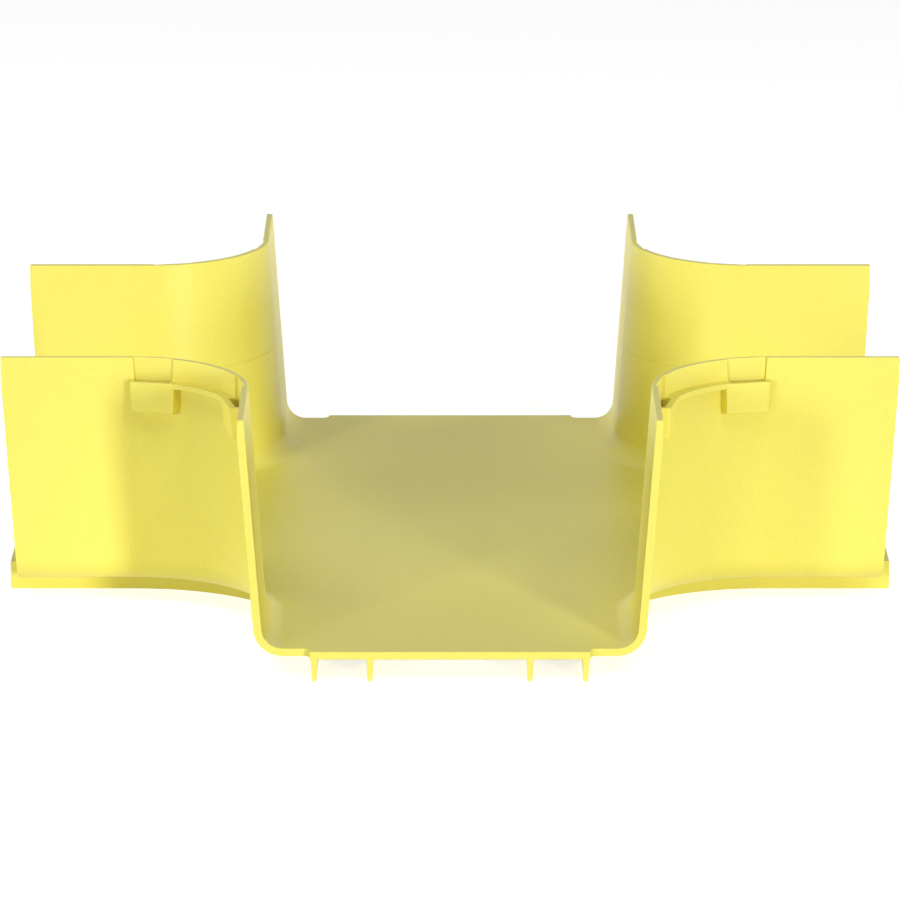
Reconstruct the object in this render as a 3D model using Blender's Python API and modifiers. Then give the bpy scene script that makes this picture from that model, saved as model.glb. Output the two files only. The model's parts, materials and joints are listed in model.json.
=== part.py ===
# Four-way cross fitting of a fibre raceway: one moulding in yellow plastic.
#
# The frame has +Z up and its origin on the surface that the ribs stand on, under the centre of
# the cross. One arm runs along each of -X, +X, -Y and +Y. The fitting is the same in every arm
# and on both sides of each arm, so only an eighth of it is drawn: the near half of the arm along
# -X, with its share of the corner that it turns into. Mirrors make the rest.
#
# Two words are used throughout. "Across" is a distance from an arm's centre line, and "above" is
# a height over the upper face of the floor.

from math import atan, cos, pi, radians, sin, tan

import bmesh
import bpy
from mathutils import Vector

# Trough: the U that every arm and corner shares
TROUGH_HALF = 0.07625       # inner half width at the very top of the wall
WALL_HEIGHT = 0.0895        # from the floor's upper face to the top of the wall
WALL_LEAN = radians(4.0)    # each wall leans out of the trough
WALL_ACROSS = 0.0031        # wall thickness, measured level
FLOOR_THICKNESS = 0.0030
INNER_FILLET = 0.0080       # from the wall's inner face to the floor
OUTER_FILLET = 0.0110       # from the wall's outer face to the underside
RIM_HEIGHT = 0.0090         # top strip of the wall, upright on its outer face

# Plan of the cross
CORNER_RADIUS = 0.0449      # the rim's outer face round each corner
ARM_STRAIGHT = 0.0498       # from the end of the corner to the mouth of the arm

# Mouth of each arm
MOUTH_LEAN = radians(3.0)   # the wall's end slopes back below the upright strip
MOUTH_UPRIGHT = 0.0095      # height of the upright strip at the wall's end
TONGUE_HALF = 0.0525        # half width of the floor's tongue, which runs on to the mouth
TONGUE_FILLET = 0.0024      # plan radius at the root of the tongue

# Ribs under the floor, which follow each wall from mouth to mouth
RIB_DEPTH = 0.0086
RIB_ROOT = 0.0028
RIB_TIP = 0.0017
OUTER_RIB = 0.0508          # across, to the rib's middle
INNER_RIB = 0.0299

# Ledge round each corner, and a latch pocket at each of its ends
LEDGE_DROP = 0.0085         # from the top of the wall down to the ledge
LEDGE_THICKNESS = 0.0021
LEDGE_SHY = 0.0002          # the ledge's edge stays this far inside the pocket's corner
POCKET_WIDTH = 0.0177       # along its flat outer face
POCKET_HEIGHT = 0.0126
POCKET_PROUD = 0.00575      # its outer face stands out from the rim
POCKET_WALL = 0.0025        # between its outer face and its slot
POCKET_FLOOR = 0.0025       # under its slot
POCKET_STRAIGHT_SIDE = 0.0018   # side wall next to the arm
POCKET_CURVED_SIDE = 0.0032     # side wall next to the ledge
POCKET_ROUND = 0.0008       # along its lower edges
PANEL_DEPTH = 0.0004        # the flat panel over the slot is cut this deep at its middle

# Fineness of the round stretches
CORNER_STEPS = 24           # in a corner's quarter turn, an even number
FILLET_STEPS = 6
SMALL_STEPS = 4
SMOOTH_UNDER = radians(30.0)    # faces that meet at less than this are shaded as one
CLEARANCE = 0.002           # cutters run past what they cut
SAME_PLACE = 0.00001        # points closer than this are one point

FLOOR_TOP = RIB_DEPTH + FLOOR_THICKNESS
RIM_ABOVE = WALL_HEIGHT - RIM_HEIGHT
LEDGE_ABOVE = WALL_HEIGHT - LEDGE_DROP
FLOOR_HALF = TROUGH_HALF - WALL_HEIGHT * tan(WALL_LEAN)
RIM_ACROSS = FLOOR_HALF + RIM_ABOVE * tan(WALL_LEAN) + WALL_ACROSS
ARC_CENTRE = RIM_ACROSS + CORNER_RADIUS
ARM_REACH = ARC_CENTRE + ARM_STRAIGHT
POCKET_FACE = CORNER_RADIUS - POCKET_PROUD
POCKET_HALF_TURN = atan(POCKET_WIDTH / 2 / POCKET_FACE)

YELLOW = (0.93, 0.84, 0.10, 1.0)
SATIN = 0.45                # roughness of the moulded surface


def new_collection(name):
    collection = bpy.data.collections.new(name)
    bpy.context.scene.collection.children.link(collection)
    return collection


def moulded_plastic():
    material = bpy.data.materials.new("moulded_yellow_plastic")
    material.use_nodes = True
    surface = material.node_tree.nodes["Principled BSDF"]
    surface.inputs["Base Color"].default_value = YELLOW
    surface.inputs["Roughness"].default_value = SATIN
    surface.inputs["Metallic"].default_value = 0.0
    return material


def object_from(bm, name, collection):
    mesh = bpy.data.meshes.new(name)
    bm.to_mesh(mesh)
    bm.free()
    thing = bpy.data.objects.new(name, mesh)
    collection.objects.link(thing)
    return thing


def arc(centre, radius, start, end, steps):
    """Points on a flat arc, both ends included."""
    turns = [start + (end - start) * step / steps for step in range(steps + 1)]
    return [(centre[0] + radius * cos(turn), centre[1] + radius * sin(turn)) for turn in turns]


def fillet(wall_across, floor_above, radius, side):
    """Arc that joins a leaning wall line to the level line of the floor.

    The wall line crosses above = 0 at wall_across. side is 1 for the arc that lies in the
    trough, above the floor, and is reached from the wall.
    """
    middle_above = floor_above + radius
    middle_across = wall_across + middle_above * tan(WALL_LEAN) - radius / cos(WALL_LEAN)
    points = arc((middle_across, middle_above), radius, -WALL_LEAN, -pi / 2, FILLET_STEPS)
    return points if side > 0 else points[::-1]


def rib(middle):
    """Section of one rib, from its side near the arm's centre line to its far side."""
    underside = -FLOOR_THICKNESS
    tip = underside - RIB_DEPTH
    return [
        (middle - RIB_ROOT / 2, underside),
        (middle - RIB_TIP / 2, tip),
        (middle + RIB_TIP / 2, tip),
        (middle + RIB_ROOT / 2, underside),
    ]


def trough_section():
    """Half of the trough's section as (across, above), from the top of the wall's inner face
    down to the centre line, and back along the underside to the top of its outer face."""
    section = [(TROUGH_HALF, WALL_HEIGHT)]
    section += fillet(FLOOR_HALF, 0.0, INNER_FILLET, 1)
    section += [(0.0, 0.0), (0.0, -FLOOR_THICKNESS)]
    section += rib(INNER_RIB) + rib(OUTER_RIB)
    section += fillet(FLOOR_HALF + WALL_ACROSS, -FLOOR_THICKNESS, OUTER_FILLET, -1)
    section += [(RIM_ACROSS, RIM_ABOVE), (RIM_ACROSS, WALL_HEIGHT)]
    return section


def trough_eighth(collection):
    """Near half of the arm along -X, turned through half of its corner.

    It stays open on the two planes where its mirror images join it: along the arm's centre
    line, and on the corner's diagonal.
    """
    bm = bmesh.new()
    section = trough_section()
    centre_line = section.index((0.0, 0.0))
    profile = [
        bm.verts.new((-ARC_CENTRE, -across, FLOOR_TOP + above)) for across, above in section
    ]
    edges = [
        bm.edges.new(pair)
        for place, pair in enumerate(zip(profile, profile[1:] + profile[:1]))
        if place != centre_line
    ]

    # The section turns about the corner's centre as far as the diagonal
    bmesh.ops.spin(
        bm,
        geom=profile + edges,
        cent=(-ARC_CENTRE, -ARC_CENTRE, 0.0),
        axis=(0.0, 0.0, 1.0),
        angle=-pi / 4,
        steps=CORNER_STEPS // 2,
    )

    # What was on the centre line stays on it, so the floor reaches the middle of the cross
    for vertex in bm.verts:
        ray = Vector((vertex.co.x + ARC_CENTRE, vertex.co.y + ARC_CENTRE))
        if abs(ray.length - ARC_CENTRE) < SAME_PLACE:
            vertex.co.x = -ARC_CENTRE + ray.x * ARC_CENTRE / ray.y
            vertex.co.y = 0.0

    # The same section runs straight out to the mouth, where the moulding ends
    straight = bmesh.ops.extrude_edge_only(bm, edges=edges)["geom"]
    mouth_points = [part for part in straight if isinstance(part, bmesh.types.BMVert)]
    for vertex in mouth_points:
        vertex.co.x = -ARM_REACH
    on_centre_line = [vertex for vertex in mouth_points if vertex.co.y == 0.0]
    bm.edges.new(on_centre_line)
    mouth_edges = [edge for edge in bm.edges if set(edge.verts) <= set(mouth_points)]
    mouth_face = bmesh.ops.edgeloop_fill(bm, edges=mouth_edges)["faces"][0]

    # The shell is still open, so its outside is told by the face at the mouth, which looks at -X
    bmesh.ops.recalc_face_normals(bm, faces=bm.faces)
    if mouth_face.normal.x > 0.0:
        bmesh.ops.reverse_faces(bm, faces=bm.faces)
    eighth = object_from(bm, "cross_fitting", collection)
    eighth.data.shade_smooth()
    eighth.data.set_sharp_from_angle(angle=SMOOTH_UNDER)
    return eighth


def upright_solid(plan, heights):
    """Closed solid whose outline at each height is plan(height). The heights are listed from
    the bottom up, and counted from the floor's upper face."""
    bm = bmesh.new()
    rings = [
        [bm.verts.new((x, y, FLOOR_TOP + above)) for x, y in plan(above)] for above in heights
    ]
    bm.faces.new(rings[0])
    bm.faces.new(rings[-1])
    for low, high in zip(rings, rings[1:]):
        for place, corner in enumerate(low):
            before = place - 1
            bm.faces.new((low[before], corner, high[place], high[before]))
    bmesh.ops.recalc_face_normals(bm, faces=bm.faces)
    return bm


def mouth_plan(above):
    """Outside of an arm's mouth: past the sloping end of the wall, and beside the tongue."""
    upright_from = WALL_HEIGHT - MOUTH_UPRIGHT
    wall_end = ARM_REACH - (upright_from - above) * tan(MOUTH_LEAN)
    past_mouth = ARM_REACH + TONGUE_FILLET + CLEARANCE
    past_wall = RIM_ACROSS + CLEARANCE
    root = (wall_end + TONGUE_FILLET, TONGUE_HALF + TONGUE_FILLET)
    outline = [(past_mouth, TONGUE_HALF)]
    outline += arc(root, TONGUE_FILLET, -pi / 2, -pi, SMALL_STEPS)
    outline += [(wall_end, past_wall), (past_mouth, past_wall)]
    return [(-along, -across) for along, across in outline]


def lean_out(above):
    """How far the wall under the rim has moved away from the corner's centre at a height."""
    return max(RIM_ABOVE - above, 0.0) * tan(WALL_LEAN)


def seat_radius(above):
    """Middle of the wall's thickness, where what stands on the wall is rooted."""
    return CORNER_RADIUS + lean_out(above) + WALL_ACROSS / 2


def corner_point(radius, turn):
    """Point round the corner's centre. turn is counted from the arm along -X."""
    return (-ARC_CENTRE + radius * sin(turn), -ARC_CENTRE + radius * cos(turn))


def pocket_point(distance, sideways):
    """Point in the pocket's own directions: distance is square to its flat face, from the
    corner's centre, and sideways runs along that face, away from the straight arm."""
    radius = Vector((distance, sideways)).length
    return corner_point(radius, POCKET_HALF_TURN + atan(sideways / distance))


def pocket_sides(above):
    """Lean of the pocket's two sides towards each other, below its top."""
    return (LEDGE_ABOVE - above) * tan(WALL_LEAN)


def pocket_plan(above):
    face = POCKET_FACE + lean_out(above)
    narrowing = pocket_sides(above)
    half = face * tan(POCKET_HALF_TURN) - narrowing
    seat = seat_radius(above)
    root_turn = POCKET_HALF_TURN - narrowing / seat
    turns = [
        POCKET_HALF_TURN - root_turn + 2 * root_turn * step / FILLET_STEPS
        for step in range(FILLET_STEPS + 1)
    ]
    outline = [pocket_point(face, half), pocket_point(face, -half)]
    return outline + [corner_point(seat, turn) for turn in turns]


def slot_plan(above):
    """Slot of the pocket, and above the pocket the flat panel that leads into it."""
    near = POCKET_FACE + POCKET_WALL + lean_out(above)
    deep = CORNER_RADIUS + PANEL_DEPTH + lean_out(above)
    near_half = near * tan(POCKET_HALF_TURN) - pocket_sides(above)
    deep_half = deep * tan(POCKET_HALF_TURN) - pocket_sides(above)
    return [
        pocket_point(near, POCKET_STRAIGHT_SIDE - near_half),
        pocket_point(near, near_half - POCKET_CURVED_SIDE),
        pocket_point(deep, deep_half - POCKET_CURVED_SIDE),
        pocket_point(deep, POCKET_STRAIGHT_SIDE - deep_half),
    ]


def ledge_plan(above):
    """Band round the corner between its two pockets, rooted in the wall and in both pockets."""
    edge = POCKET_FACE / cos(POCKET_HALF_TURN) + LEDGE_SHY
    root = edge + POCKET_WALL / 2
    start = 2 * POCKET_HALF_TURN
    end = pi / 2 - start
    into_pocket = POCKET_CURVED_SIDE / 2 / edge
    turns = [start + (end - start) * step / CORNER_STEPS for step in range(CORNER_STEPS + 1)]
    seat = [start - into_pocket] + turns + [end + into_pocket]
    outline = [corner_point(root, start - into_pocket)]
    outline += [corner_point(edge, turn) for turn in turns]
    outline += [corner_point(root, end + into_pocket)]
    outline += [corner_point(seat_radius(above), turn) for turn in reversed(seat)]
    return outline


def round_lower_edges(bm, seat):
    """Round the pocket's lower edges, apart from those inside the wall, which end at seat."""
    centre = Vector((-ARC_CENTRE, -ARC_CENTRE, 0.0))
    bottom = min(vertex.co.z for vertex in bm.verts)
    free = []
    for edge in bm.edges:
        nearest = min((vertex.co - centre).xy.length for vertex in edge.verts)
        if all(vertex.co.z == bottom for vertex in edge.verts) and nearest < seat - WALL_ACROSS:
            free.append(edge)
    bmesh.ops.bevel(
        bm, geom=free, offset=POCKET_ROUND, segments=SMALL_STEPS, profile=0.5, affect="EDGES"
    )


def mirror(thing, diagonal, merge):
    """Repeat a piece over the corner's diagonal, if asked, and then over both centre lines."""
    if diagonal is not None:
        across = thing.modifiers.new("other side of the corner", "MIRROR")
        across.mirror_object = diagonal
        across.use_mirror_merge = merge
        across.merge_threshold = SAME_PLACE
    arms = thing.modifiers.new("four corners", "MIRROR")
    arms.use_axis = (True, True, False)
    arms.use_mirror_merge = merge
    arms.merge_threshold = SAME_PLACE


def combine(fitting, tool, operation):
    cut = fitting.modifiers.new(tool.name, "BOOLEAN")
    cut.operation = operation
    cut.solver = "EXACT"
    cut.object = tool
    tool.hide_render = True
    tool.display_type = "WIRE"


def build():
    for thing in list(bpy.data.objects):
        bpy.data.objects.remove(thing, do_unlink=True)
    parts = new_collection("fibre_raceway_cross")
    tools = new_collection("cutters_and_guides")

    # An empty turned to the corner's diagonal is the plane of the first mirror
    diagonal = bpy.data.objects.new("corner_diagonal", None)
    diagonal.rotation_euler = (0.0, 0.0, -pi / 4)
    tools.objects.link(diagonal)

    fitting = trough_eighth(parts)
    fitting.data.materials.append(moulded_plastic())
    mirror(fitting, diagonal, True)

    # The wall's end is cut back beside the tongue, up to its upright strip
    end_heights = (-FLOOR_THICKNESS - CLEARANCE, WALL_HEIGHT - MOUTH_UPRIGHT + CLEARANCE)
    mouth = object_from(upright_solid(mouth_plan, end_heights), "mouth_cutter", tools)
    mirror(mouth, diagonal, False)
    combine(fitting, mouth, "DIFFERENCE")

    ledge_heights = (LEDGE_ABOVE - LEDGE_THICKNESS, LEDGE_ABOVE)
    ledge = object_from(upright_solid(ledge_plan, ledge_heights), "corner_ledge", tools)
    mirror(ledge, None, False)
    combine(fitting, ledge, "UNION")

    pocket_bottom = LEDGE_ABOVE - POCKET_HEIGHT
    pocket_form = upright_solid(pocket_plan, (pocket_bottom, RIM_ABOVE, LEDGE_ABOVE))
    round_lower_edges(pocket_form, seat_radius(pocket_bottom))
    pocket = object_from(pocket_form, "latch_pocket", tools)
    mirror(pocket, diagonal, False)
    combine(fitting, pocket, "UNION")

    # The slot is cut last, down into the pocket and up through the wall's panel
    slot_heights = (pocket_bottom + POCKET_FLOOR, RIM_ABOVE, WALL_HEIGHT + CLEARANCE)
    slot = object_from(upright_solid(slot_plan, slot_heights), "slot_cutter", tools)
    mirror(slot, diagonal, False)
    combine(fitting, slot, "DIFFERENCE")


build()
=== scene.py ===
# %% [markdown]
# # A cross fitting for a fibre raceway
#
# The real object is one piece of moulded yellow plastic: four arms of an open cable trough that
# meet in a cross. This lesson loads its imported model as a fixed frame, and then makes what the
# eye wants and a plain solid lacks: edges that are slightly round, the faint line that the mould
# leaves half way up the walls, and a satin plastic with a fine grain.

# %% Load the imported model
import json
from math import atan, cos, pi, radians, sin, tan

import bmesh
import bpy
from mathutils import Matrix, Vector

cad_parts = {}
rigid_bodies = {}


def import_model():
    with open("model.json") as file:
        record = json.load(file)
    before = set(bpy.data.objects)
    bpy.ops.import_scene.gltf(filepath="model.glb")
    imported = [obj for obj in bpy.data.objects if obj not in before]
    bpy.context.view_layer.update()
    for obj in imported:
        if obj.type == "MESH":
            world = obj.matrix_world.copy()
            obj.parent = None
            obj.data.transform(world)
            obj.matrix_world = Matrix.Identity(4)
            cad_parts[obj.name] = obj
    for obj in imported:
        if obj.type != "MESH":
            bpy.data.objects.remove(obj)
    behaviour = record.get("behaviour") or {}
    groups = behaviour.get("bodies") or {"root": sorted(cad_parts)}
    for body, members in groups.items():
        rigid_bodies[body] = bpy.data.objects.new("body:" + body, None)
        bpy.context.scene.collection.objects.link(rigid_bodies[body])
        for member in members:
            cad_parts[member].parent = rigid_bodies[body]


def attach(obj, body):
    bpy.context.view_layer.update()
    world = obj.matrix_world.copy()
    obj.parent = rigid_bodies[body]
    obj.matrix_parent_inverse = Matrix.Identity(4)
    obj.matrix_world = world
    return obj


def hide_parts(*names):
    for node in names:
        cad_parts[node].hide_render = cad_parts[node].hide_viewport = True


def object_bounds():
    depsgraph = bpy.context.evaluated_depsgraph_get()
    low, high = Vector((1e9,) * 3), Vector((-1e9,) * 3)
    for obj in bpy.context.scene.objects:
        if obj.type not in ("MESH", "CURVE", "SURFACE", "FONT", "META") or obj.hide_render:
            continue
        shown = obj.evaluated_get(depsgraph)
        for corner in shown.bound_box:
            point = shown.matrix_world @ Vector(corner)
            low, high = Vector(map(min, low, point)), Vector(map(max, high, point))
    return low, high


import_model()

MM = 0.001
cad_low, cad_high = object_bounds()
print("the solid spans", [round(size / MM, 1) for size in cad_high - cad_low], "mm")

# %% [markdown]
# ## Camera
#
# The photograph was taken from the front and a little above, with a long lens, so far edges are
# hardly smaller than near ones. A camera is easiest to place by what it looks at: start there,
# step back along the line of sight, and tilt it by the same angle.

# %% Camera
LENS = 220.0
SENSOR = 36.0
CAMERA_DISTANCE = 2.2123
CAMERA_ELEVATION = radians(15.146)
LOOK_AT = Vector((0.0, 0.0, 42.8 * MM))

camera = bpy.data.objects.new("camera", bpy.data.cameras.new("camera"))
bpy.context.scene.collection.objects.link(camera)
camera.data.lens = LENS
camera.data.sensor_width = SENSOR
line_of_sight = Vector((0.0, -cos(CAMERA_ELEVATION), sin(CAMERA_ELEVATION)))
camera.location = LOOK_AT + line_of_sight * CAMERA_DISTANCE
camera.rotation_euler = (pi / 2 - CAMERA_ELEVATION, 0.0, 0.0)
bpy.context.scene.camera = camera
bpy.context.scene.view_settings.view_transform = "Standard"
print("camera at", [round(place, 3) for place in camera.location])

# %% [markdown]
# ## Colours and nodes
#
# Colours are written as the hex values that a picture editor shows. Blender's shaders work on
# linear light, so one function turns them. A second function adds a shader node, sets its
# inputs and links them, which keeps each material readable as a list of its parts.

# %% Helpers for materials
def linear(hex_colour):
    """Linear RGBA of an sRGB colour written as #rrggbb."""
    channels = [int(hex_colour[start:start + 2], 16) / 255 for start in (1, 3, 5)]
    light = [c / 12.92 if c <= 0.04045 else ((c + 0.055) / 1.055) ** 2.4 for c in channels]
    return (*light, 1.0)


def new_material(name):
    material = bpy.data.materials.new(name)
    material.use_nodes = True
    material.node_tree.nodes.clear()
    return material.node_tree


def add(tree, kind, inputs=None, **settings):
    """Add a node. inputs maps a socket's name or number to a value or to another node's output."""
    node = tree.nodes.new(kind)
    for name, value in settings.items():
        setattr(node, name, value)
    for name, value in (inputs or {}).items():
        if isinstance(value, bpy.types.NodeSocket):
            tree.links.new(value, node.inputs[name])
        else:
            node.inputs[name].default_value = value
    return node


def seen_directly(tree):
    """Output that is 1 for what the camera sees, also by reflection or through glass, and 0 for
    the rays that carry light to a matt surface."""
    ray = add(tree, "ShaderNodeLightPath")
    seen = ray.outputs["Is Camera Ray"]
    for kind in ("Is Glossy Ray", "Is Transmission Ray"):
        seen = add(tree, "ShaderNodeMath", {0: seen, 1: ray.outputs[kind]},
                   operation="MAXIMUM").outputs[0]
    return seen


# %% [markdown]
# ## Backdrop
#
# The fitting stands on a pale studio floor. The floor takes its shadow from the lamps as any
# matt surface does. Where it is seen it also glows a little, so that it reads as white paper,
# but none of that glow falls on the fitting.

# %% Studio floor
FLOOR_SIDE = 12.0
PAPER = linear("#f4f4f2")
PAPER_GLOW = 0.72

bpy.ops.mesh.primitive_plane_add(size=FLOOR_SIDE)
floor = bpy.context.object
floor.name = "studio_floor"

paper = new_material("white_paper")
brightness = add(paper, "ShaderNodeMath", {0: seen_directly(paper), 1: PAPER_GLOW},
                 operation="MULTIPLY")
glow = add(paper, "ShaderNodeEmission",
           {"Color": (1.0, 1.0, 1.0, 1.0), "Strength": brightness.outputs[0]})
matt = add(paper, "ShaderNodeBsdfDiffuse", {"Color": PAPER})
both = add(paper, "ShaderNodeAddShader", {0: matt.outputs[0], 1: glow.outputs[0]})
add(paper, "ShaderNodeOutputMaterial", {"Surface": both.outputs[0]})
floor.data.materials.append(bpy.data.materials["white_paper"])
print("the paper floor is", FLOOR_SIDE, "m wide")

# %% [markdown]
# ## Light
#
# Two narrow softboxes stand low in front, one to each side. They are far off, so their shadows
# keep a clear edge: two of these edges cross on the floor of the trough, which the lamps reach
# only through the near mouth. A wider softbox fills the left side. Larger ones hang above for the
# floor of the trough, and two at the sides light the faces that look sideways. The room itself is
# white to the eye and in reflections, and adds no light. Each lamp is placed by its bearing, so
# it can be moved like a real one.

# %% White room
room = bpy.data.worlds.new("white_room")
bpy.context.scene.world = room
room.use_nodes = True
room.node_tree.nodes.clear()
sky = add(room.node_tree, "ShaderNodeBackground",
          {"Color": (1.0, 1.0, 1.0, 1.0), "Strength": seen_directly(room.node_tree)})
add(room.node_tree, "ShaderNodeOutputWorld", {"Surface": sky.outputs[0]})


# %% Softboxes
FAR = 7.0
NEAR = 2.6


def softbox(name, bearing, elevation, distance, width, height, level):
    """Area lamp that lights a matt white surface facing it to the given level, where 1 is white.

    The bearing is counted in degrees from the camera's side towards +X. The energy follows from
    the level, since a small lamp of 1 W lights what faces it to 1 / (pi * distance) ** 2.
    """
    lamp = bpy.data.objects.new(name, bpy.data.lights.new(name, "AREA"))
    bpy.context.scene.collection.objects.link(lamp)
    lamp.data.shape = "RECTANGLE"
    lamp.data.size = width
    lamp.data.size_y = height
    lamp.data.energy = level * (pi * distance) ** 2
    turn = radians(bearing)
    rise = radians(elevation)
    direction = Vector((sin(turn) * cos(rise), -cos(turn) * cos(rise), sin(rise)))
    lamp.location = LOOK_AT + direction * distance
    lamp.rotation_euler = direction.to_track_quat("Z", "Y").to_euler()


# name, bearing, elevation, distance, width, height, level
SOFTBOXES = (
    ("softbox_right", 27.5, 8.0, FAR, 0.60, 1.00, 0.44),
    ("softbox_left", -35.0, 11.0, FAR, 0.60, 1.00, 0.22),
    ("softbox_left_fill", -20.0, 9.0, FAR, 0.90, 1.00, 0.08),
    ("softbox_right_high", 29.0, 43.0, NEAR, 0.28, 0.40, 0.08),
    ("softbox_above", 0.0, 60.0, NEAR, 1.20, 1.00, 0.17),
    ("softbox_above_left", -60.0, 60.0, NEAR, 0.90, 0.90, 0.12),
    ("softbox_side_right", 103.0, 5.0, NEAR, 0.90, 0.42, 0.30),
    ("softbox_side_left", -103.0, 5.0, NEAR, 0.90, 0.42, 0.33),
)
for settings in SOFTBOXES:
    softbox(*settings)
print(len(SOFTBOXES), "softboxes from", NEAR, "to", FAR, "m away")

# %% [markdown]
# ## Sizes
#
# The frame gives the reach of an arm and the full height. The others are the sizes that the
# moulding was drawn to: a trough 152.5 mm wide inside at the top, with walls that lean out by
# 4 degrees so that it leaves the mould. "Across" is a distance from an arm's centre line, and
# "above" is a height over the upper face of the floor.

# %% Sizes of the trough
TROUGH_HALF = 76.25 * MM
WALL_LEAN = radians(4.0)
WALL_ACROSS = 3.1 * MM
FLOOR_THICKNESS = 3.0 * MM
RIB_DEPTH = 8.6 * MM
RIM_HEIGHT = 9.0 * MM
ARM_STRAIGHT = 49.8 * MM

arm_reach = cad_high.x
floor_top = RIB_DEPTH + FLOOR_THICKNESS
wall_height = cad_high.z - floor_top
rim_above = wall_height - RIM_HEIGHT
floor_half = TROUGH_HALF - wall_height * tan(WALL_LEAN)
rim_across = floor_half + rim_above * tan(WALL_LEAN) + WALL_ACROSS
arc_centre = arm_reach - ARM_STRAIGHT
corner_radius = arc_centre - rim_across
print("the wall is", round(wall_height / MM, 2), "mm high")
print("the corner's radius is", round(corner_radius / MM, 2), "mm")

# %% [markdown]
# ## Section of the trough
#
# A moulded edge is never sharp: steel cutters and polish leave a radius of a few tenths of a
# millimetre, and that radius is what catches the light. A Bevel modifier over the finished mesh
# could make it, but it stumbles where cuts leave short edges. Here the section itself has round
# corners, so every edge that runs along the walls is round before anything is cut.

# %% Outline with round corners
RIM_INNER_ROUND = 0.7 * MM
RIM_OUTER_ROUND = 0.2 * MM
RIB_EDGE_ROUND = 0.5 * MM
FEWEST_STEPS = 3


def rounded(corners):
    """Closed outline through corners (x, y, radius), each rounded by an arc of its radius.

    An arc has one step more for each millimetre of its radius.
    """
    outline = []
    for place, (x, y, radius) in enumerate(corners):
        here = Vector((x, y))
        if radius == 0.0:
            outline.append(here)
            continue
        back = (Vector(corners[place - 1][:2]) - here).normalized()
        onward = (Vector(corners[(place + 1) % len(corners)][:2]) - here).normalized()
        half = back.angle(onward) / 2
        centre = here + (back + onward).normalized() * radius / sin(half)
        first = here + back * radius / tan(half) - centre
        last = here + onward * radius / tan(half) - centre
        turn = first.angle(last)
        steps = FEWEST_STEPS + int(radius / MM)
        for step in range(steps + 1):
            share = step / steps
            weights = sin((1 - share) * turn), sin(share * turn)
            outline.append(centre + (first * weights[0] + last * weights[1]) / sin(turn))
    return outline


# %% Section
INNER_FILLET = 8.0 * MM
OUTER_FILLET = 11.0 * MM
RIB_ROOT = 2.8 * MM
RIB_TIP = 1.7 * MM
RIB_MIDDLES = (29.9 * MM, 50.8 * MM)
MOULD_LINE_WIDTH = 0.6 * MM
MOULD_LINE_DEPTH = 0.25 * MM


def mould_line():
    """Shallow groove half way up the wall's inner face, where two parts of the mould meet."""
    middle = wall_height / 2
    face = floor_half + middle * tan(WALL_LEAN)
    shift = MOULD_LINE_WIDTH / 2 * tan(WALL_LEAN)
    return [
        (face + shift, middle + MOULD_LINE_WIDTH / 2, 0.0),
        (face + MOULD_LINE_DEPTH, middle, 0.0),
        (face - shift, middle - MOULD_LINE_WIDTH / 2, 0.0),
    ]


def rib(middle):
    tip = -FLOOR_THICKNESS - RIB_DEPTH
    return [
        (middle - RIB_ROOT / 2, -FLOOR_THICKNESS, 0.0),
        (middle - RIB_TIP / 2, tip, RIB_EDGE_ROUND),
        (middle + RIB_TIP / 2, tip, RIB_EDGE_ROUND),
        (middle + RIB_ROOT / 2, -FLOOR_THICKNESS, 0.0),
    ]


outer_foot = floor_half + WALL_ACROSS - FLOOR_THICKNESS * tan(WALL_LEAN)
corners = [(TROUGH_HALF, wall_height, RIM_INNER_ROUND)]
corners += mould_line()
corners += [(floor_half, 0.0, INNER_FILLET), (0.0, 0.0, 0.0), (0.0, -FLOOR_THICKNESS, 0.0)]
for middle in RIB_MIDDLES:
    corners += rib(middle)
corners += [(outer_foot, -FLOOR_THICKNESS, OUTER_FILLET)]
corners += [(rim_across, rim_above, 0.0), (rim_across, wall_height, RIM_OUTER_ROUND)]
section = rounded(corners)
print("the section has", len(section), "points")

# %% [markdown]
# ## An eighth of the trough
#
# The cross is the same in every arm and on both sides of each arm. So only the near half of one
# arm is drawn, with its share of the corner: the section is spun about the corner's centre as
# far as the diagonal, and pushed straight out to the mouth. Mirrors make the other seven.

# %% Sweep the section
CORNER_STEPS = 48
SAME_PLACE = 0.01 * MM

workshop = bpy.data.collections.new("workshop")
bpy.context.scene.collection.children.link(workshop)


def object_from(bm, name):
    mesh = bpy.data.meshes.new(name)
    bm.to_mesh(mesh)
    bm.free()
    thing = bpy.data.objects.new(name, mesh)
    workshop.objects.link(thing)
    return thing


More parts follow.
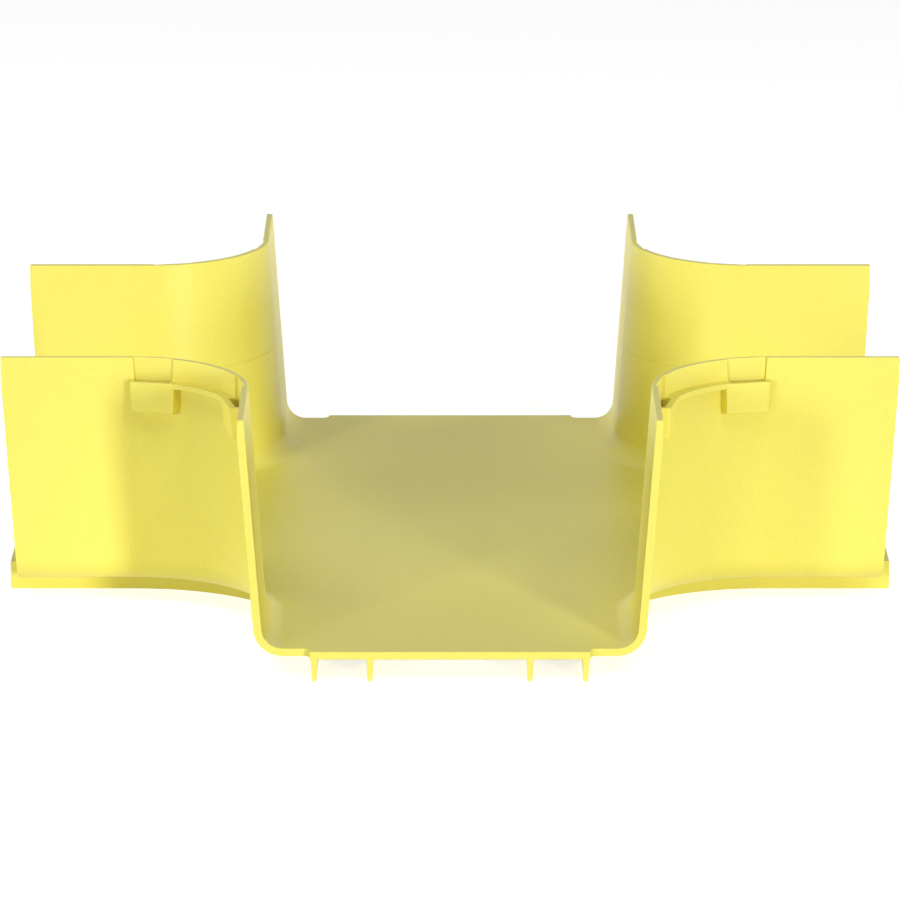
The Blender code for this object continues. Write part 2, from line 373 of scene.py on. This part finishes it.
def trough_eighth():
    bm = bmesh.new()
    centre_line = next(place for place, point in enumerate(section) if point.length == 0.0)
    profile = [bm.verts.new((-arc_centre, -point.x, floor_top + point.y)) for point in section]
    edges = [
        bm.edges.new(pair)
        for place, pair in enumerate(zip(profile, profile[1:] + profile[:1]))
        if place != centre_line
    ]
    bmesh.ops.spin(
        bm, geom=profile + edges, cent=(-arc_centre, -arc_centre, 0.0), axis=(0.0, 0.0, 1.0),
        angle=-pi / 4, steps=CORNER_STEPS // 2,
    )

    # What was on the centre line stays on it, so the floor reaches the middle of the cross
    for vertex in bm.verts:
        ray = Vector((vertex.co.x + arc_centre, vertex.co.y + arc_centre))
        if abs(ray.length - arc_centre) < SAME_PLACE:
            vertex.co.x = -arc_centre + ray.x * arc_centre / ray.y
            vertex.co.y = 0.0

    straight = bmesh.ops.extrude_edge_only(bm, edges=edges)["geom"]
    mouth_points = [part for part in straight if isinstance(part, bmesh.types.BMVert)]
    for vertex in mouth_points:
        vertex.co.x = -arm_reach
    bm.edges.new([vertex for vertex in mouth_points if vertex.co.y == 0.0])
    mouth_edges = [edge for edge in bm.edges if set(edge.verts) <= set(mouth_points)]
    mouth_face = bmesh.ops.edgeloop_fill(bm, edges=mouth_edges)["faces"][0]
    bmesh.ops.recalc_face_normals(bm, faces=bm.faces)
    if mouth_face.normal.x > 0.0:
        bmesh.ops.reverse_faces(bm, faces=bm.faces)
    return object_from(bm, "trough")


# %% Mirrors
diagonal = bpy.data.objects.new("corner_diagonal", None)
diagonal.rotation_euler = (0.0, 0.0, -pi / 4)
workshop.objects.link(diagonal)


def mirror(thing, over_diagonal, merge):
    """Repeat a piece over the corner's diagonal, if asked, and then over both centre lines."""
    if over_diagonal:
        across = thing.modifiers.new("other side of the corner", "MIRROR")
        across.mirror_object = diagonal
        across.use_mirror_merge = merge
        across.merge_threshold = SAME_PLACE
    arms = thing.modifiers.new("four corners", "MIRROR")
    arms.use_axis = (True, True, False)
    arms.use_mirror_merge = merge
    arms.merge_threshold = SAME_PLACE


trough = trough_eighth()
mirror(trough, True, True)
print("an eighth of the trough has", len(trough.data.polygons), "faces")


# %% [markdown]
# ## Mouths
#
# At each mouth the wall's end leans back by 3 degrees and only the floor's tongue and a short
# strip at the top reach the full length. One cutter, drawn for half a mouth and mirrored, takes
# the wall back. The new end faces are then found by their place and by the way they look, and
# a bevel rounds every convex edge that they have.

# %% Solids that stand upright
SMALL_STEPS = 6
CLEARANCE = 2.0 * MM


def arc(centre, radius, start, end, steps):
    """Points on a flat arc, both ends included."""
    turns = [start + (end - start) * step / steps for step in range(steps + 1)]
    return [(centre[0] + radius * cos(turn), centre[1] + radius * sin(turn)) for turn in turns]


def upright_solid(plan, heights):
    """Closed solid whose outline at each height is plan(height), listed from the bottom up."""
    bm = bmesh.new()
    rings = [
        [bm.verts.new((x, y, floor_top + above)) for x, y in plan(above)] for above in heights
    ]
    bm.faces.new(rings[0])
    bm.faces.new(rings[-1])
    for lower, upper in zip(rings, rings[1:]):
        for place, corner in enumerate(lower):
            before = place - 1
            bm.faces.new((lower[before], corner, upper[place], upper[before]))
    bmesh.ops.recalc_face_normals(bm, faces=bm.faces)
    return bm


def combine(thing, tool, operation):
    cut = thing.modifiers.new(tool.name, "BOOLEAN")
    cut.operation = operation
    cut.solver = "EXACT"
    cut.object = tool


def finished(thing, name):
    """New object with the mesh that all the modifiers of thing make."""
    evaluated = thing.evaluated_get(bpy.context.evaluated_depsgraph_get())
    mesh = bpy.data.meshes.new_from_object(evaluated)
    mesh.name = name
    made = bpy.data.objects.new(name, mesh)
    workshop.objects.link(made)
    print(name, "has", len(mesh.polygons), "faces")
    return made


# %% Cut the mouths
MOUTH_LEAN = radians(3.0)
MOUTH_UPRIGHT = 9.5 * MM
TONGUE_HALF = 52.5 * MM
TONGUE_FILLET = 2.4 * MM


def mouth_plan(above):
    """Outside of an arm's mouth: past the sloping end of the wall, and beside the tongue."""
    wall_end = arm_reach - (wall_height - MOUTH_UPRIGHT - above) * tan(MOUTH_LEAN)
    past_mouth = arm_reach + TONGUE_FILLET + CLEARANCE
    past_wall = rim_across + CLEARANCE
    root = (wall_end + TONGUE_FILLET, TONGUE_HALF + TONGUE_FILLET)
    outline = [(past_mouth, TONGUE_HALF)]
    outline += arc(root, TONGUE_FILLET, -pi / 2, -pi, SMALL_STEPS)
    outline += [(wall_end, past_wall), (past_mouth, past_wall)]
    return [(-along, -across) for along, across in outline]


end_heights = (-FLOOR_THICKNESS - CLEARANCE, wall_height - MOUTH_UPRIGHT + CLEARANCE)
mouth_cutter = object_from(upright_solid(mouth_plan, end_heights), "mouth_cutter")
mirror(mouth_cutter, True, False)
combine(trough, mouth_cutter, "DIFFERENCE")
open_trough = finished(trough, "open_trough")


# %% Round the edges of the mouths
MOUTH_ROUND = 0.3 * MM
MOUTH_ZONE = 8.0 * MM
SHARP_OVER = radians(40.0)
END_LOOKS_OUT = 0.9         # least share of an end face's normal that points along the arm
END_LOOKS_UP = 0.5          # share that may point up or down
ROUND_STEPS = 3
CIRCULAR = 0.5              # profile of a bevel that follows an arc


def round_mouth_edges(mesh):
    """Round every convex edge that the ends of the moulding have, from tongue to rim."""
    bm = bmesh.new()
    bm.from_mesh(mesh)
    bmesh.ops.remove_doubles(bm, verts=bm.verts, dist=SAME_PLACE)
    ends = set()
    for face in bm.faces:
        middle = face.calc_center_median()
        along = 0 if abs(middle.x) > abs(middle.y) else 1
        if abs(middle[along]) > arm_reach - MOUTH_ZONE and abs(face.normal.z) < END_LOOKS_UP:
            if abs(face.normal[along]) > END_LOOKS_OUT:
                ends.add(face)
    sharp = [
        edge for edge in bm.edges
        if len(edge.link_faces) == 2 and ends & set(edge.link_faces)
        and edge.calc_face_angle_signed() > SHARP_OVER
    ]
    print("rounding", len(sharp), "edges of", len(ends), "end faces")
    bmesh.ops.bevel(
        bm, geom=sharp, offset=MOUTH_ROUND, segments=ROUND_STEPS, profile=CIRCULAR,
        affect="EDGES", clamp_overlap=False,
    )
    bm.to_mesh(mesh)
    bm.free()


round_mouth_edges(open_trough.data)

# %% [markdown]
# ## Ledges and latch pockets
#
# Between the arms the outside of the wall carries what holds the cover: a ledge that follows
# the corner, and at each of its ends a pocket with a slot for the cover's latch. Each is a
# small closed solid whose own edges are rounded while it is still simple, and only then is it
# joined to the wall. Its back lies inside the wall's thickness, so the join leaves no gap.

# %% Places round a corner
LEDGE_DROP = 8.5 * MM
LEDGE_THICKNESS = 2.1 * MM
LEDGE_SHY = 0.2 * MM
POCKET_WIDTH = 17.7 * MM
POCKET_HEIGHT = 12.6 * MM
POCKET_PROUD = 5.75 * MM

ledge_above = wall_height - LEDGE_DROP
pocket_bottom = ledge_above - POCKET_HEIGHT
pocket_face = corner_radius - POCKET_PROUD
pocket_half_turn = atan(POCKET_WIDTH / 2 / pocket_face)


def lean_out(above):
    """How far the wall under the rim has moved away from the corner's centre at a height."""
    return max(rim_above - above, 0.0) * tan(WALL_LEAN)


def seat_radius(above):
    """Middle of the wall's thickness, where what stands on the wall is rooted."""
    return corner_radius + lean_out(above) + WALL_ACROSS / 2


def corner_point(radius, turn):
    """Point round the corner's centre. turn is counted from the arm along -X."""
    return (-arc_centre + radius * sin(turn), -arc_centre + radius * cos(turn))


def pocket_point(distance, sideways):
    """Point in the pocket's own directions: distance is square to its flat face, from the
    corner's centre, and sideways runs along that face, away from the straight arm."""
    radius = Vector((distance, sideways)).length
    return corner_point(radius, pocket_half_turn + atan(sideways / distance))


# %% Ledge
POCKET_CURVED_SIDE = 3.2 * MM
LEDGE_ROUND = 0.15 * MM


def ledge_plan(above):
    """Band round the corner between its two pockets, rooted in the wall and in both pockets."""
    edge = pocket_face / cos(pocket_half_turn) + LEDGE_SHY
    root = edge + WALL_ACROSS / 2
    start = 2 * pocket_half_turn
    end = pi / 2 - start
    into_pocket = POCKET_CURVED_SIDE / 2 / edge
    turns = [start + (end - start) * step / CORNER_STEPS for step in range(CORNER_STEPS + 1)]
    seat = [start - into_pocket] + turns + [end + into_pocket]
    outline = [corner_point(root, start - into_pocket)]
    outline += [corner_point(edge, turn) for turn in turns]
    outline += [corner_point(root, end + into_pocket)]
    outline += [corner_point(seat_radius(above), turn) for turn in reversed(seat)]
    return outline


def free_edges(bm, wanted):
    """Edges that lie off the wall, among those that the function wanted picks."""
    centre = Vector((-arc_centre, -arc_centre, 0.0))
    free = []
    for edge in bm.edges:
        nearest = min((vertex.co - centre).xy.length for vertex in edge.verts)
        if nearest < corner_radius - WALL_ACROSS / 2 and wanted(edge):
            free.append(edge)
    return free


def is_level(edge):
    return abs(edge.verts[0].co.z - edge.verts[1].co.z) < SAME_PLACE


ledge_form = upright_solid(ledge_plan, (ledge_above - LEDGE_THICKNESS, ledge_above))
bmesh.ops.bevel(
    ledge_form, geom=free_edges(ledge_form, is_level), offset=LEDGE_ROUND,
    segments=ROUND_STEPS, profile=CIRCULAR, affect="EDGES",
)
ledge = object_from(ledge_form, "corner_ledge")
mirror(ledge, False, False)
print("the ledge's upper face is", round(ledge_above / MM, 1), "mm above the trough's floor")

# %% Pocket
POCKET_ROUND = 0.8 * MM
POCKET_EDGE_ROUND = 0.35 * MM
POCKET_STEPS = 12


def pocket_sides(above):
    """Lean of the pocket's two sides towards each other, below its top."""
    return (ledge_above - above) * tan(WALL_LEAN)


def pocket_plan(above):
    face = pocket_face + lean_out(above)
    narrowing = pocket_sides(above)
    half = face * tan(pocket_half_turn) - narrowing
    seat = seat_radius(above)
    root_turn = pocket_half_turn - narrowing / seat
    turns = [
        pocket_half_turn - root_turn + 2 * root_turn * step / POCKET_STEPS
        for step in range(POCKET_STEPS + 1)
    ]
    outline = [pocket_point(face, half), pocket_point(face, -half)]
    return outline + [corner_point(seat, turn) for turn in turns]


def at_the_bottom(edge):
    return all(abs(vertex.co.z - floor_top - pocket_bottom) < SAME_PLACE for vertex in edge.verts)


def is_sharp(edge):
    return edge.calc_face_angle(0.0) > SHARP_OVER


pocket_form = upright_solid(pocket_plan, (pocket_bottom, rim_above, ledge_above))
bmesh.ops.bevel(
    pocket_form, geom=free_edges(pocket_form, at_the_bottom), offset=POCKET_ROUND,
    segments=SMALL_STEPS, profile=CIRCULAR, affect="EDGES",
)
bmesh.ops.bevel(
    pocket_form, geom=free_edges(pocket_form, is_sharp), offset=POCKET_EDGE_ROUND,
    segments=ROUND_STEPS, profile=CIRCULAR, affect="EDGES",
)
pocket = object_from(pocket_form, "latch_pocket")
mirror(pocket, True, False)
print("the pocket has", len(pocket.data.polygons), "faces before its slot is cut")

# %% Slot
POCKET_WALL = 2.5 * MM
POCKET_FLOOR = 2.5 * MM
POCKET_STRAIGHT_SIDE = 1.8 * MM
PANEL_DEPTH = 0.4 * MM


def slot_plan(above):
    """Slot of the pocket, and above the pocket the flat panel that leads into it."""
    near = pocket_face + POCKET_WALL + lean_out(above)
    deep = corner_radius + PANEL_DEPTH + lean_out(above)
    near_half = near * tan(pocket_half_turn) - pocket_sides(above)
    deep_half = deep * tan(pocket_half_turn) - pocket_sides(above)
    return [
        pocket_point(near, POCKET_STRAIGHT_SIDE - near_half),
        pocket_point(near, near_half - POCKET_CURVED_SIDE),
        pocket_point(deep, deep_half - POCKET_CURVED_SIDE),
        pocket_point(deep, POCKET_STRAIGHT_SIDE - deep_half),
    ]


slot_heights = (pocket_bottom + POCKET_FLOOR, rim_above, wall_height + CLEARANCE)
slot = object_from(upright_solid(slot_plan, slot_heights), "slot_cutter")
mirror(slot, True, False)

combine(open_trough, ledge, "UNION")
combine(open_trough, pocket, "UNION")
combine(open_trough, slot, "DIFFERENCE")
fitting = finished(open_trough, "moulded_fitting")

# %% [markdown]
# ## One smooth skin
#
# The parts on the workbench have done their work and go. On the finished fitting, faces that
# meet at a small angle are shaded as one surface. A flat floor next to a small fillet would
# still pick up a false gradient, so the Weighted Normal modifier lets large faces decide.

# %% Shading
CUBIC_CM = 1e-6

bpy.context.scene.collection.objects.link(fitting)
workshop.objects.unlink(fitting)
for helper in list(workshop.objects):
    bpy.data.objects.remove(helper, do_unlink=True)
bpy.data.collections.remove(workshop)

bm = bmesh.new()
bm.from_mesh(fitting.data)
bmesh.ops.remove_doubles(bm, verts=bm.verts, dist=SAME_PLACE)
open_edges = sum(1 for edge in bm.edges if len(edge.link_faces) != 2)
volume = bm.calc_volume()
bm.to_mesh(fitting.data)
bm.free()
print("the fitting has", len(fitting.data.polygons), "faces and", open_edges, "open edges")
print("its volume is", round(volume / CUBIC_CM, 1), "cm3")

fitting.data.shade_smooth()
fitting.data.set_sharp_from_angle(angle=SHARP_OVER)
even = fitting.modifiers.new("large faces decide", "WEIGHTED_NORMAL")
even.keep_sharp = True
even.weight = 100

# %% [markdown]
# ## Moulded ABS
#
# Raceway fittings are moulded from a flame-retardant ABS in a strong yellow, so that nobody
# takes them for power ducts. The mould is spark-eroded, which leaves a fine grain that breaks
# up reflections to a satin sheen. One noise makes that grain: it raises the surface a little,
# and darkens the colour in its pits. A second, much larger one changes the sheen, as it does
# where the melt flowed and cooled at another pace. A picture of the grain would need to be
# wrapped round every wall, and noise in three dimensions needs no wrapping. Where walls close
# in on each other, in the slots and fillets and under the ledges, an occlusion node paints
# shade into the colour: a darker yellow stands in for the shade that falls there.

# %% Satin yellow plastic
YELLOW = linear("#fbf170")
YELLOW_IN_PITS = linear("#f7ec6e")
# painted shade: a darker yellow mixed in where walls close in, in slots, fillets and under ledges
YELLOW_PAINTED_SHADE = linear("#ebde68")
PAINTED_SHADE_REACH = 12.0 * MM
ABS_IOR = 1.38
SATIN_LOW = 0.35
SATIN_HIGH = 0.42
GRAIN = 0.9 * MM            # drawn coarser than the real grain, about two pixels wide
GRAIN_DEPTH = 0.05 * MM
NOISE_LOW = 0.3             # most of a noise's values lie between these two
NOISE_HIGH = 0.7
FLOW = 60.0 * MM

plastic = new_material("moulded_abs")
spot = add(plastic, "ShaderNodeTexCoord").outputs["Object"]
grain = add(plastic, "ShaderNodeTexNoise", {"Vector": spot, "Scale": 1 / GRAIN, "Detail": 2.0})
pits = add(plastic, "ShaderNodeMapRange",
           {"Value": grain.outputs["Fac"], "From Min": NOISE_LOW, "From Max": NOISE_HIGH})
tint = add(plastic, "ShaderNodeMix", {0: pits.outputs[0], 6: YELLOW_IN_PITS, 7: YELLOW},
           data_type="RGBA")
# occlusion node that paints shade into the colour where walls close in on each other
occlusion_for_painted_shade = add(plastic, "ShaderNodeAmbientOcclusion", {"Distance": PAINTED_SHADE_REACH}, samples=8,
               only_local=True)
colour = add(plastic, "ShaderNodeMix",
             {0: occlusion_for_painted_shade.outputs["AO"], 6: YELLOW_PAINTED_SHADE, 7: tint.outputs[2]},
             data_type="RGBA")
relief = add(plastic, "ShaderNodeBump",
             {"Height": grain.outputs["Fac"], "Distance": GRAIN_DEPTH, "Strength": 1.0})
flow = add(plastic, "ShaderNodeTexNoise", {"Vector": spot, "Scale": 1 / FLOW, "Detail": 3.0})
sheen = add(plastic, "ShaderNodeMapRange",
            {"Value": flow.outputs["Fac"], "To Min": SATIN_LOW, "To Max": SATIN_HIGH})
skin = add(plastic, "ShaderNodeBsdfPrincipled", {
    "Base Color": colour.outputs[2],
    "Roughness": sheen.outputs[0],
    "IOR": ABS_IOR,
    "Normal": relief.outputs[0],
})
add(plastic, "ShaderNodeOutputMaterial", {"Surface": skin.outputs[0]})

fitting.data.materials.clear()
fitting.data.materials.append(bpy.data.materials["moulded_abs"])
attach(fitting, "root")
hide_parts("cross_fitting")
print("moulded_abs has", len(plastic.nodes), "nodes")
